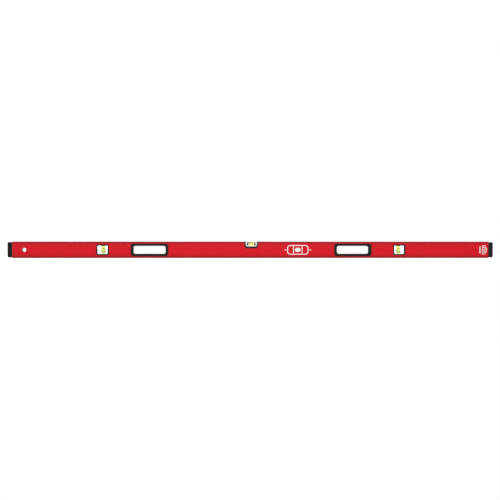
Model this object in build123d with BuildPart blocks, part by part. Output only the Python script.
from build123d import *
import os

# A 72 in box-beam spirit level with two plumb vials, one level vial and two hand holes.
# Frame: origin in the middle of the bottom measuring face, +X along the beam, the front
# face looks along -Y, +Z up. All sizes are in millimetres.

# Overall
level_length = 1828.8
beam_height = 62.0
beam_thickness = 31.0

# Fits
slide_gap = 0.3
seat_gap = 0.2
fit_gap = 0.15
bond_gap = 0.05
wetting_gap = 0.02

# Beam extrusion
beam_corner_radius = 2.5
beam_end_chamfer = 0.4
side_wall = 2.2
rail_wall = 4.0
outer_chamber_height = 5.0
web_thickness = 2.0
chamber_corner_radius = 1.5

# End caps
cap_proud = 18.0
cap_edge_inset = 2.0
cap_side_inset = 1.5
cap_corner_radius = 5.0
cap_nose_radius = 4.0
cap_flange_thickness = 3.0
cap_flange_inset = 1.0
cap_flange_radius = 4.0
cap_core_thickness = 14.0
cap_core_inset = 9.0
cap_core_length = 9.0
cap_core_radius = 3.0
cap_plug_depth = 27.0
cap_plug_wall = 2.4
cap_plug_floor = 3.0
cap_plug_radius = 2.0
crush_rib_height = 0.8
crush_rib_width = 2.0
crush_rib_spacing = 14.0

# Hang hole
hang_hole_from_end = 62.3
hang_hole_diameter = 16.0
hang_sleeve_wall = 1.0

# Hand holes: the opening, its soft grips and the hard shells that carry them
hand_hole_from_window = 175.8
hand_hole_length = 121.0
hand_hole_edge = 16.25
hand_hole_radius = 7.0
hand_rim_end_width = 10.2
hand_rim_side_width = 8.65
hand_rim_radius = 9.0
hand_rim_proud = 1.6
hand_rim_edge_radius = 1.2
grip_wall = 2.0
grip_lip_width = 5.0
grip_lip_thickness = 0.8
grip_mouth_radius = 1.5
hand_shell_wall = 2.0

# Plumb vial windows
window_from_end = 355.6
window_length = 38.5
window_edge = 15.4
window_radius = 3.5
window_rim_width = 4.6
window_rim_proud = 0.8
window_rim_edge_radius = 0.5
window_recess = 2.0
block_cover = 1.4
bezel_wall = 1.75

# Plumb vials: a barrel-shaped bore in a clear block, a little inboard of its middle
plumb_vial_inboard = 2.5
plumb_bore_end_radius = 7.35
plumb_bore_bulge = 0.15
plumb_block_floor = 2.6
plumb_plug_length = 3.0
plumb_ring_spacing = 11.0
plumb_bubble_length = 10.0
plumb_bubble_radius = 4.5

# Level vial: a clear barrel tube in a pale cradle, held by a two-part housing in a notch
notch_top_width = 57.7
notch_bottom_width = 48.0
notch_depth = 25.3
notch_corner_radius = 9.0
housing_rim_width = 2.0
housing_rim_proud = 0.8
housing_rim_edge_radius = 0.5
housing_drop = 0.2
locating_pin_radius = 1.25
locating_pin_length = 3.0
locating_pin_spacing = 30.0
screw_spacing = 46.4
screw_depth_below_top = 7.2
screw_head_radius = 1.8
screw_head_height = 1.4
screw_head_sink = 0.2
screw_slot_width = 0.6
screw_slot_depth = 0.6
screw_shank_radius = 1.1
screw_grip_length = 8.0
cradle_width = 42.0
cradle_depth = 18.2
cradle_wall = 4.3
cradle_corner_radius = 5.0
cradle_inner_radius = 2.5
cradle_recess = 2.5
cradle_drop = 0.4
cradle_key_length = 20.0
cradle_key_thickness = 6.0
cradle_key_depth = 2.0
tube_length = 35.0
tube_radius = 7.35
tube_axis_depth = 8.6
tube_bore_end_radius = 5.85
tube_bore_bulge = 0.1
tube_liquid_length = 21.0
tube_plug_length = 5.0
tube_ring_spacing = 10.5
tube_bubble_length = 9.0
tube_bubble_radius = 3.4
tube_bubble_lift = 1.7

# Ring lines and the room left at the ends of the bubble's travel, in both kinds of vial
ring_width = 0.8
ring_thickness = 0.3
bubble_end_gap = 0.7

# Small rounding on the open edges of moulded pieces
moulded_edge_radius = 0.4

# Snap wedges that catch behind the side wall of the beam
catch_height = 1.0
catch_length = 4.0
catch_width = 12.0

# Worked out from the sizes above
middle_z = beam_height / 2
beam_length = level_length - 2 * cap_proud
chamber_width = beam_thickness - 2 * side_wall
middle_chamber_height = beam_height - 2 * (rail_wall + outer_chamber_height + web_thickness)
outer_chamber_z = beam_height / 2 - rail_wall - outer_chamber_height / 2
window_x = level_length / 2 - window_from_end
hand_hole_x = window_x - hand_hole_from_window
hang_hole_x = hang_hole_from_end - level_length / 2
hang_sleeve_radius = hang_hole_diameter / 2 + hang_sleeve_wall
hand_hole_height = beam_height - 2 * hand_hole_edge
window_height = beam_height - 2 * window_edge
block_length = window_length + 2 * block_cover
block_height = window_height + 2 * block_cover
block_thickness = beam_thickness - 2 * window_recess
plumb_liquid_length = block_height - plumb_block_floor - plumb_plug_length
plumb_bubble_travel = (plumb_liquid_length - plumb_bubble_length) / 2 - bubble_end_gap
tube_bubble_travel = (tube_liquid_length - tube_bubble_length) / 2 - bubble_end_gap
tube_z = beam_height - tube_axis_depth
screw_z = beam_height - screw_depth_below_top

# The sides that repeated pieces are made on
LEFT, RIGHT = -1, 1
FRONT, BACK = -1, 1
END_NAMES = {LEFT: "left", RIGHT: "right"}
FACE_NAMES = {FRONT: "front", BACK: "back"}


def face_plane(x, z, face, outward=0.0):
    """A plane on the front or back of the beam, seen from outside."""
    y = face * (beam_thickness / 2 + outward)
    return Plane(origin=(x, y, z), x_dir=(-face, 0, 0), z_dir=(0, face, 0))


def middle_plane(x, z):
    """A plane through the middle of the beam's thickness, facing the front."""
    return Plane(origin=(x, 0, z), x_dir=(1, 0, 0), z_dir=(0, -1, 0))


def lying_plane(x, z):
    """A middle plane turned so that its own Y runs along the beam."""
    return Plane(origin=(x, 0, z), x_dir=(0, 0, 1), z_dir=(0, -1, 0))


def end_plane(end, outward=0.0):
    """A plane across one end of the beam, looking outwards."""
    x = end * (beam_length / 2 + outward)
    return Plane(origin=(x, 0, middle_z), x_dir=(0, end, 0), z_dir=(end, 0, 0))


def turning_axis(plane):
    """The line through a plane's origin along its own Y."""
    return Axis(plane.origin, plane.y_dir)


def outer_face(part, face):
    """The outermost flat face of a part on the front or the back."""
    return part.faces().sort_by(Axis.Y)[0 if face == FRONT else -1]


def save(part, name):
    """Label a finished piece and write it as parts/NAME.step."""
    part.label = name
    export_step(part, f"parts/{name}.step")


def make_barrel(plane, length, end_radius, bulge):
    """A round solid about the plane's Y, wider by the bulge in its middle."""
    with BuildPart() as barrel:
        with BuildSketch(plane):
            with BuildLine():
                wall = ThreePointArc(
                    (end_radius, -length / 2),
                    (end_radius + bulge, 0),
                    (end_radius, length / 2),
                )
                Polyline(wall @ 1, (0, length / 2), (0, -length / 2), wall @ 0)
            make_face()
        revolve(axis=turning_axis(plane))
    return barrel.part


def make_capsule(plane, length, radius):
    """A rod with round ends, along the plane's Y."""
    straight = length / 2 - radius
    with BuildPart() as capsule:
        with BuildSketch(plane):
            with BuildLine():
                low = CenterArc((0, -straight), radius, -90, 90)
                high = CenterArc((0, straight), radius, 0, 90)
                Line(low @ 1, high @ 0)
                Line(high @ 1, low @ 0)
            make_face()
        revolve(axis=turning_axis(plane))
    return capsule.part


def make_rings(plane, outer_radius, spacing):
    """The two ring lines of a vial, either side of its middle."""
    with BuildPart() as rings:
        with BuildSketch(plane):
            with GridLocations(0, spacing, 1, 2):
                with Locations((outer_radius - ring_thickness / 2, 0)):
                    Rectangle(ring_thickness, ring_width)
        revolve(axis=turning_axis(plane))
    return rings.part


def make_liquid(plane, length, end_radius, bulge, rings, channel):
    """The liquid of a vial, clear of its ring lines and of the bubble's way."""
    filling = make_barrel(plane, length - 2 * wetting_gap, end_radius - wetting_gap, bulge)
    with BuildPart() as liquid:
        add(filling)
        add(rings, mode=Mode.SUBTRACT)
        add(channel, mode=Mode.SUBTRACT)
    return liquid.part


# Sizes of the sleeves that reach into the beam, and of the cuts that take them
hand_grip_outer = (hand_hole_length + 2 * grip_wall, hand_hole_height + 2 * grip_wall)
hand_grip_radius = hand_hole_radius + grip_wall
hand_lip_outer = (hand_hole_length + 2 * grip_lip_width, hand_hole_height + 2 * grip_lip_width)
hand_lip_radius = hand_hole_radius + grip_lip_width / 2
hand_sleeve = (
    hand_grip_outer[0] + 2 * hand_shell_wall,
    hand_grip_outer[1] + 2 * hand_shell_wall,
)
hand_sleeve_radius = hand_grip_radius + hand_shell_wall
hand_rim = (
    hand_hole_length + 2 * hand_rim_end_width,
    hand_hole_height + 2 * hand_rim_side_width,
)
block_pocket = (block_length + 2 * bond_gap, block_height + 2 * bond_gap)
bezel_sleeve = (block_pocket[0] + 2 * bezel_wall, block_pocket[1] + 2 * bezel_wall)
bezel_rim = (window_length + 2 * window_rim_width, window_height + 2 * window_rim_width)
block_radius = window_radius
bezel_sleeve_radius = block_radius + bezel_wall
bezel_rim_radius = window_radius + window_rim_width / 2


def notch_points(inset, top):
    """Corners of the notch outline in the middle plane, from the top left, anticlockwise."""
    side_slope = (notch_top_width - notch_bottom_width) / 2 / notch_depth
    bottom = beam_height - notch_depth + inset
    bottom_half = notch_bottom_width / 2 - inset
    top_half = bottom_half + side_slope * (top - bottom)
    return [(-top_half, top), (-bottom_half, bottom), (bottom_half, bottom), (top_half, top)]


def make_beam():
    """The aluminium box extrusion with every opening cut through it."""
    with BuildPart() as beam:
        with BuildSketch(Plane.YZ.offset(-beam_length / 2)):
            with Locations((0, middle_z)):
                RectangleRounded(beam_thickness, beam_height, beam_corner_radius)
                RectangleRounded(
                    chamber_width, middle_chamber_height, chamber_corner_radius, mode=Mode.SUBTRACT
                )
                with GridLocations(0, 2 * outer_chamber_z, 1, 2):
                    RectangleRounded(
                        chamber_width, outer_chamber_height, chamber_corner_radius, mode=Mode.SUBTRACT
                    )
        extrude(amount=beam_length)
        for end_face in (beam.faces().sort_by(Axis.X)[0], beam.faces().sort_by(Axis.X)[-1]):
            chamfer(end_face.outer_wire().edges(), beam_end_chamfer)
        with BuildSketch(middle_plane(0, middle_z)):
            with GridLocations(2 * hand_hole_x, 0, 2, 1):
                RectangleRounded(
                    hand_sleeve[0] + 2 * fit_gap,
                    hand_sleeve[1] + 2 * fit_gap,
                    hand_sleeve_radius + fit_gap,
                )
            with GridLocations(2 * window_x, 0, 2, 1):
                RectangleRounded(
                    bezel_sleeve[0] + 2 * fit_gap,
                    bezel_sleeve[1] + 2 * fit_gap,
                    bezel_sleeve_radius + fit_gap,
                )
            with Locations((hang_hole_x, 0)):
                Circle(hang_sleeve_radius + bond_gap)
        extrude(amount=beam_thickness, both=True, mode=Mode.SUBTRACT)
        with BuildSketch(middle_plane(0, 0)) as notch:
            with BuildLine():
                Polyline(*notch_points(housing_rim_width, beam_height + rail_wall), close=True)
            make_face()
            fillet(notch.vertices().group_by(Axis.Y)[0], notch_corner_radius - housing_rim_width)
        extrude(amount=beam_thickness, both=True, mode=Mode.SUBTRACT)
    return beam.part


def make_hang_sleeve():
    """The sleeve that lines the hang hole from face to face."""
    with BuildPart() as sleeve:
        with BuildSketch(middle_plane(hang_hole_x, middle_z)):
            Circle(hang_sleeve_radius)
            Circle(hang_hole_diameter / 2, mode=Mode.SUBTRACT)
        extrude(amount=beam_thickness / 2, both=True)
    return sleeve.part


def cap_height(inset):
    """Height of a section of the end cap, inset from the measuring faces."""
    return beam_height - 2 * (cap_edge_inset + inset)


def cap_thickness(inset):
    """Thickness of a section of the end cap, inset from the side faces."""
    return beam_thickness - 2 * (cap_side_inset + inset)


def make_cap_plug(end):
    """The hard core of an end cap: plug, flange and the tongue that the bumper grips."""
    plug_width = chamber_width - 2 * slide_gap
    plug_height = middle_chamber_height - 2 * (slide_gap + crush_rib_height)
    with BuildPart() as plug:
        with BuildSketch(end_plane(end, seat_gap)):
            RectangleRounded(
                cap_thickness(cap_flange_inset), cap_height(cap_flange_inset), cap_flange_radius
            )
        extrude(amount=cap_flange_thickness)
        with BuildSketch(end_plane(end, seat_gap)):
            RectangleRounded(plug_width, plug_height, cap_plug_radius)
        extrude(amount=-cap_plug_depth)
        with BuildSketch(end_plane(end, seat_gap)):
            with GridLocations(crush_rib_spacing, plug_height, 2, 2):
                Rectangle(crush_rib_width, 2 * crush_rib_height)
        extrude(amount=-cap_plug_depth)
        with BuildSketch(end_plane(end, seat_gap - cap_plug_floor)):
            RectangleRounded(
                plug_width - 2 * cap_plug_wall, plug_height - 2 * cap_plug_wall, cap_plug_radius
            )
        extrude(amount=-cap_plug_depth, mode=Mode.SUBTRACT)
        with BuildSketch(end_plane(end, seat_gap + cap_flange_thickness)):
            RectangleRounded(cap_core_thickness, cap_height(cap_core_inset), cap_core_radius)
        extrude(amount=cap_core_length)
    return plug.part


def make_cap_bumper(end):
    """The soft outer block of an end cap, moulded over the plug's tongue."""
    foot = seat_gap + cap_flange_thickness
    with BuildPart() as bumper:
        with BuildSketch(end_plane(end, foot)):
            RectangleRounded(cap_thickness(0), cap_height(0), cap_corner_radius)
        extrude(amount=cap_proud - foot)
        nose = bumper.faces().sort_by(Axis.X)[0 if end == LEFT else -1]
        fillet(nose.edges(), cap_nose_radius)
        with BuildSketch(end_plane(end, foot)):
            RectangleRounded(
                cap_core_thickness + 2 * bond_gap,
                cap_height(cap_core_inset) + 2 * bond_gap,
                cap_core_radius,
            )
        extrude(amount=cap_core_length + bond_gap, mode=Mode.SUBTRACT)
    return bumper.part


def catch_outline(x, end, face):
    """Corners, seen from above, of a wedge on the end of a sleeve behind the side wall."""
    behind_wall = face * (beam_thickness / 2 - side_wall - seat_gap)
    tip = face * catch_length
    return [
        (x - end * catch_height, behind_wall),
        (x + end * catch_height, behind_wall),
        (x - end * catch_height, behind_wall - tip),
    ]


def make_hand_shell(x, face):
    """One hard half of a hand hole's lining, with a rim that lies on the beam's face."""
    with BuildPart() as shell:
        with BuildSketch(face_plane(x, middle_z, face)):
            RectangleRounded(*hand_rim, hand_rim_radius)
        extrude(amount=hand_rim_proud)
        fillet(outer_face(shell, face).edges(), hand_rim_edge_radius)
        with BuildSketch(face_plane(x, middle_z, face)):
            RectangleRounded(*hand_sleeve, hand_sleeve_radius)
        extrude(amount=-beam_thickness / 2)
        with BuildSketch(Plane.XY.offset(middle_z - catch_width / 2)):
            for end in (LEFT, RIGHT):
                Polygon(*catch_outline(x + end * hand_sleeve[0] / 2, end, face), align=None)
        extrude(amount=catch_width)
        with BuildSketch(face_plane(x, middle_z, face, hand_rim_proud)):
            RectangleRounded(*hand_lip_outer, hand_lip_radius)
        extrude(amount=-grip_lip_thickness, mode=Mode.SUBTRACT)
        with BuildSketch(face_plane(x, middle_z, face, hand_rim_proud)):
            RectangleRounded(*hand_grip_outer, hand_grip_radius)
        extrude(amount=-(beam_thickness / 2 + hand_rim_proud), mode=Mode.SUBTRACT)
    return shell.part


def make_hand_grip(x, face):
    """One soft half of a hand hole's lining, with a lip let into the rim."""
    with BuildPart() as grip:
        with BuildSketch(face_plane(x, middle_z, face, hand_rim_proud)):
            RectangleRounded(*hand_grip_outer, hand_grip_radius)
        extrude(amount=-(beam_thickness / 2 + hand_rim_proud))
        with BuildSketch(face_plane(x, middle_z, face, hand_rim_proud)):
            RectangleRounded(*hand_lip_outer, hand_lip_radius)
        extrude(amount=-grip_lip_thickness)
        with BuildSketch(face_plane(x, middle_z, face, hand_rim_proud)):
            RectangleRounded(hand_hole_length, hand_hole_height, hand_hole_radius)
        extrude(amount=-(beam_thickness / 2 + hand_rim_proud), mode=Mode.SUBTRACT)
        mouth = outer_face(grip, face).inner_wires()[0]
        fillet(mouth.edges(), grip_mouth_radius)
    return grip.part


def make_bezel(x, face):
    """One half of the frame round a plumb vial's block."""
    with BuildPart() as bezel:
        with BuildSketch(face_plane(x, middle_z, face)):
            RectangleRounded(*bezel_rim, bezel_rim_radius)
        extrude(amount=window_rim_proud)
        with BuildSketch(face_plane(x, middle_z, face)):
            RectangleRounded(*bezel_sleeve, bezel_sleeve_radius)
        extrude(amount=-beam_thickness / 2)
        with BuildSketch(Plane.XY.offset(middle_z - catch_width / 2)):
            for end in (LEFT, RIGHT):
                Polygon(*catch_outline(x + end * bezel_sleeve[0] / 2, end, face), align=None)
        extrude(amount=catch_width)
        with BuildSketch(face_plane(x, middle_z, face, window_rim_proud)):
            RectangleRounded(window_length, window_height, window_radius)
        extrude(amount=-(window_recess + window_rim_proud), mode=Mode.SUBTRACT)
        fillet(outer_face(bezel, face).edges(), window_rim_edge_radius)
        with BuildSketch(face_plane(x, middle_z, face, -window_recess)):
            RectangleRounded(*block_pocket, block_radius + bond_gap)
        extrude(amount=-block_thickness / 2, mode=Mode.SUBTRACT)
    return bezel.part


def make_plumb_block(x, vial_x, liquid_z):
    """The clear block with its barrel-shaped bore, open at the top for the plug."""
    bore = make_barrel(
        middle_plane(vial_x, liquid_z), plumb_liquid_length, plumb_bore_end_radius, plumb_bore_bulge
    )
    with BuildPart() as block:
        with BuildSketch(middle_plane(x, middle_z)):
            RectangleRounded(block_length, block_height, block_radius)
        extrude(amount=block_thickness / 2, both=True)
        add(bore, mode=Mode.SUBTRACT)
        with BuildSketch(Plane.XY.offset(middle_z + block_height / 2)):
            with Locations((vial_x, 0)):
                Circle(plumb_bore_end_radius)
        extrude(amount=-plumb_plug_length, mode=Mode.SUBTRACT)
    return block.part


def make_plumb_plug(vial_x):
    """The plug that closes a plumb vial's bore."""
    with BuildPart() as plug:
        with BuildSketch(Plane.XY.offset(middle_z + block_height / 2)):
            with Locations((vial_x, 0)):
                Circle(plumb_bore_end_radius - bond_gap)
        extrude(amount=-plumb_plug_length)
    return plug.part


def make_housing(face):
    """One half of the level vial's housing, set in the notch of the beam."""
    top = beam_height - housing_drop
    opening_half = cradle_width / 2 + bond_gap
    opening_bottom = beam_height - cradle_drop - cradle_depth - bond_gap
    pin_z = (opening_bottom + beam_height - notch_depth + housing_rim_width) / 2
    with BuildPart() as housing:
        with BuildSketch(face_plane(0, 0, face)) as rim:
            with BuildLine():
                Polyline(*notch_points(0, top), close=True)
            make_face()
            fillet(rim.vertices().group_by(Axis.Y)[0], notch_corner_radius)
        extrude(amount=housing_rim_proud)
        with BuildSketch(face_plane(0, 0, face)) as insert:
            with BuildLine():
                Polyline(*notch_points(housing_rim_width + fit_gap, top), close=True)
            make_face()
            fillet(
                insert.vertices().group_by(Axis.Y)[0],
                notch_corner_radius - housing_rim_width - fit_gap,
            )
        extrude(amount=-beam_thickness / 2)
        with BuildSketch(face_plane(0, 0, face, housing_rim_proud)) as opening:
            with BuildLine():
                Polyline(
                    (-opening_half, beam_height),
                    (-opening_half, opening_bottom),
                    (opening_half, opening_bottom),
                    (opening_half, beam_height),
                    close=True,
                )
            make_face()
            fillet(opening.vertices().group_by(Axis.Y)[0], cradle_corner_radius)
        extrude(amount=-(beam_thickness / 2 + housing_rim_proud), mode=Mode.SUBTRACT)
        fillet(outer_face(housing, face).edges(), housing_rim_edge_radius)
        with BuildSketch(face_plane(0, opening_bottom, face, -beam_thickness / 2)):
            Rectangle(
                cradle_key_length + 2 * bond_gap,
                2 * (cradle_key_depth + bond_gap),
            )
        extrude(amount=cradle_key_thickness / 2 + bond_gap, mode=Mode.SUBTRACT)
        with BuildSketch(face_plane(0, pin_z, face, -beam_thickness / 2)):
            with GridLocations(locating_pin_spacing, 0, 2, 1):
                Circle(locating_pin_radius + (bond_gap if face == BACK else 0))
        if face == BACK:
            extrude(amount=locating_pin_length + seat_gap, mode=Mode.SUBTRACT)
        else:
            extrude(amount=-locating_pin_length)
        with BuildSketch(face_plane(0, screw_z, face, -beam_thickness / 2)):
            with GridLocations(screw_spacing, 0, 2, 1):
                Circle(screw_shank_radius + (bond_gap if face == BACK else fit_gap))
        extrude(
            amount=screw_grip_length + seat_gap if face == BACK else beam_thickness / 2,
            mode=Mode.SUBTRACT,
        )
        if face == FRONT:
            with BuildSketch(face_plane(0, screw_z, face, housing_rim_proud)):
                with GridLocations(screw_spacing, 0, 2, 1):
                    Circle(screw_head_radius + fit_gap)
            extrude(amount=-(screw_head_sink + screw_head_height), mode=Mode.SUBTRACT)
    return housing.part


def make_housing_screws():
    """The two slotted screws that pull the halves of the housing together from the front."""
    head_top = housing_rim_proud - screw_head_sink
    with BuildPart() as screws:
        with BuildSketch(face_plane(0, screw_z, FRONT, head_top)):
            with GridLocations(screw_spacing, 0, 2, 1):
                Circle(screw_head_radius)
        extrude(amount=-screw_head_height)
        with BuildSketch(face_plane(0, screw_z, FRONT, head_top)):
            with GridLocations(screw_spacing, 0, 2, 1):
                Circle(screw_shank_radius)
        extrude(amount=-(beam_thickness / 2 + head_top + screw_grip_length))
        with BuildSketch(face_plane(0, screw_z, FRONT, head_top)):
            with GridLocations(screw_spacing, 0, 2, 1):
                Rectangle(2 * screw_head_radius, screw_slot_width)
        extrude(amount=-screw_slot_depth, mode=Mode.SUBTRACT)
    return screws.part


def make_cradle():
    """The pale U-shaped cradle that the level vial's tube lies in."""
    top = beam_height - cradle_drop
    thickness = beam_thickness - 2 * cradle_recess
    seat_radius = tube_radius + bond_gap
    seat_length = tube_length + 2 * bond_gap
    with BuildPart() as cradle:
        with BuildSketch(middle_plane(0, top - cradle_depth / 2)) as outline:
            Rectangle(cradle_width, cradle_depth)
            fillet(outline.vertices().group_by(Axis.Y)[0], cradle_corner_radius)
        extrude(amount=thickness / 2, both=True)
        with BuildSketch(middle_plane(0, top)):
            RectangleRounded(
                cradle_width - 2 * cradle_wall,
                2 * (cradle_depth - cradle_wall),
                cradle_inner_radius,
            )
        extrude(amount=thickness / 2, both=True, mode=Mode.SUBTRACT)
        with BuildSketch(Plane.YZ.offset(-seat_length / 2)):
            with Locations((0, tube_z)):
                Circle(seat_radius)
                Rectangle(2 * seat_radius, cradle_depth, align=(Align.CENTER, Align.MIN))
        extrude(amount=seat_length, mode=Mode.SUBTRACT)
        with BuildSketch(middle_plane(0, top - cradle_depth)):
            Rectangle(cradle_key_length, 2 * cradle_key_depth)
        extrude(amount=cradle_key_thickness / 2, both=True)
        with BuildSketch(Plane.YZ.offset(-seat_length / 2)):
            with Locations((0, tube_z)):
                Circle(seat_radius)
        extrude(amount=seat_length, mode=Mode.SUBTRACT)
        for face in (FRONT, BACK):
            fillet(outer_face(cradle, face).edges(), moulded_edge_radius)
    return cradle.part


def make_tube():
    """The clear tube of the level vial, with a barrel-shaped bore and a plug seat at each end."""
    bore = make_barrel(
        lying_plane(0, tube_z), tube_liquid_length, tube_bore_end_radius, tube_bore_bulge
    )
    seat_depth = (tube_length - tube_liquid_length) / 2
    with BuildPart() as tube:
        with BuildSketch(Plane.YZ.offset(-tube_length / 2)):
            with Locations((0, tube_z)):
                Circle(tube_radius)
        extrude(amount=tube_length)
        add(bore, mode=Mode.SUBTRACT)
        with BuildSketch(Plane.YZ.offset(-tube_length / 2)):
            with Locations((0, tube_z)):
                Circle(tube_bore_end_radius)
        extrude(amount=seat_depth, mode=Mode.SUBTRACT)
        with BuildSketch(Plane.YZ.offset(tube_length / 2)):
            with Locations((0, tube_z)):
                Circle(tube_bore_end_radius)
        extrude(amount=-seat_depth, mode=Mode.SUBTRACT)
    return tube.part


def make_tube_plug(end):
    """A plug that closes one end of the level vial's bore."""
    with BuildPart() as plug:
        with BuildSketch(Plane.YZ.offset(end * tube_liquid_length / 2)):
            with Locations((0, tube_z)):
                Circle(tube_bore_end_radius - bond_gap)
        extrude(amount=end * tube_plug_length)
    return plug.part


def build_plumb_vial(end):
    """Write the seven pieces of one plumb vial."""
    name = END_NAMES[end]
    x = end * window_x
    vial_x = end * (window_x - plumb_vial_inboard)
    liquid_z = middle_z + (plumb_block_floor - plumb_plug_length) / 2
    upright = middle_plane(vial_x, liquid_z)
    rings = make_rings(upright, plumb_bore_end_radius - wetting_gap, plumb_ring_spacing)
    bubble = make_capsule(upright, plumb_bubble_length, plumb_bubble_radius)
    channel = make_capsule(
        upright,
        plumb_bubble_length + 2 * (plumb_bubble_travel + slide_gap),
        plumb_bubble_radius + slide_gap,
    )
    liquid = make_liquid(
        upright, plumb_liquid_length, plumb_bore_end_radius, plumb_bore_bulge, rings, channel
    )
    for face in (FRONT, BACK):
        save(make_bezel(x, face), f"{name}_plumb_{FACE_NAMES[face]}_bezel")
    save(make_plumb_block(x, vial_x, liquid_z), f"{name}_plumb_block")
    save(make_plumb_plug(vial_x), f"{name}_plumb_plug")
    save(rings, f"{name}_plumb_rings")
    save(liquid, f"{name}_plumb_liquid")
    save(bubble, f"{name}_plumb_bubble")


def build_level_vial():
    """Write the ten nodes of the level vial in the top edge."""
    lying = lying_plane(0, tube_z)
    bubble_line = lying_plane(0, tube_z + tube_bubble_lift)
    rings = make_rings(lying, tube_bore_end_radius - wetting_gap, tube_ring_spacing)
    bubble = make_capsule(bubble_line, tube_bubble_length, tube_bubble_radius)
    channel = make_capsule(
        bubble_line,
        tube_bubble_length + 2 * (tube_bubble_travel + slide_gap),
        tube_bubble_radius + slide_gap,
    )
    liquid = make_liquid(
        lying, tube_liquid_length, tube_bore_end_radius, tube_bore_bulge, rings, channel
    )
    for face in (FRONT, BACK):
        save(make_housing(face), f"level_vial_{FACE_NAMES[face]}_housing")
    save(make_housing_screws(), "level_vial_housing_screws")
    save(make_cradle(), "level_vial_cradle")
    save(make_tube(), "level_vial_tube")
    for end in (LEFT, RIGHT):
        save(make_tube_plug(end), f"level_vial_{END_NAMES[end]}_plug")
    save(rings, "level_vial_rings")
    save(liquid, "level_vial_liquid")
    save(bubble, "level_vial_bubble")


def build_hand_hole(end):
    """Write the four pieces that line one hand hole."""
    for face in (FRONT, BACK):
        name = f"{END_NAMES[end]}_handle_{FACE_NAMES[face]}"
        save(make_hand_shell(end * hand_hole_x, face), f"{name}_shell")
        save(make_hand_grip(end * hand_hole_x, face), f"{name}_grip")


def build_end_cap(end):
    """Write the two pieces of one end cap."""
    save(make_cap_plug(end), f"{END_NAMES[end]}_cap_plug")
    save(make_cap_bumper(end), f"{END_NAMES[end]}_cap_bumper")


os.makedirs("parts", exist_ok=True)
save(make_beam(), "beam")
save(make_hang_sleeve(), "hang_hole_sleeve")
for side in (LEFT, RIGHT):
    build_end_cap(side)
    build_hand_hole(side)
    build_plumb_vial(side)
build_level_vial()
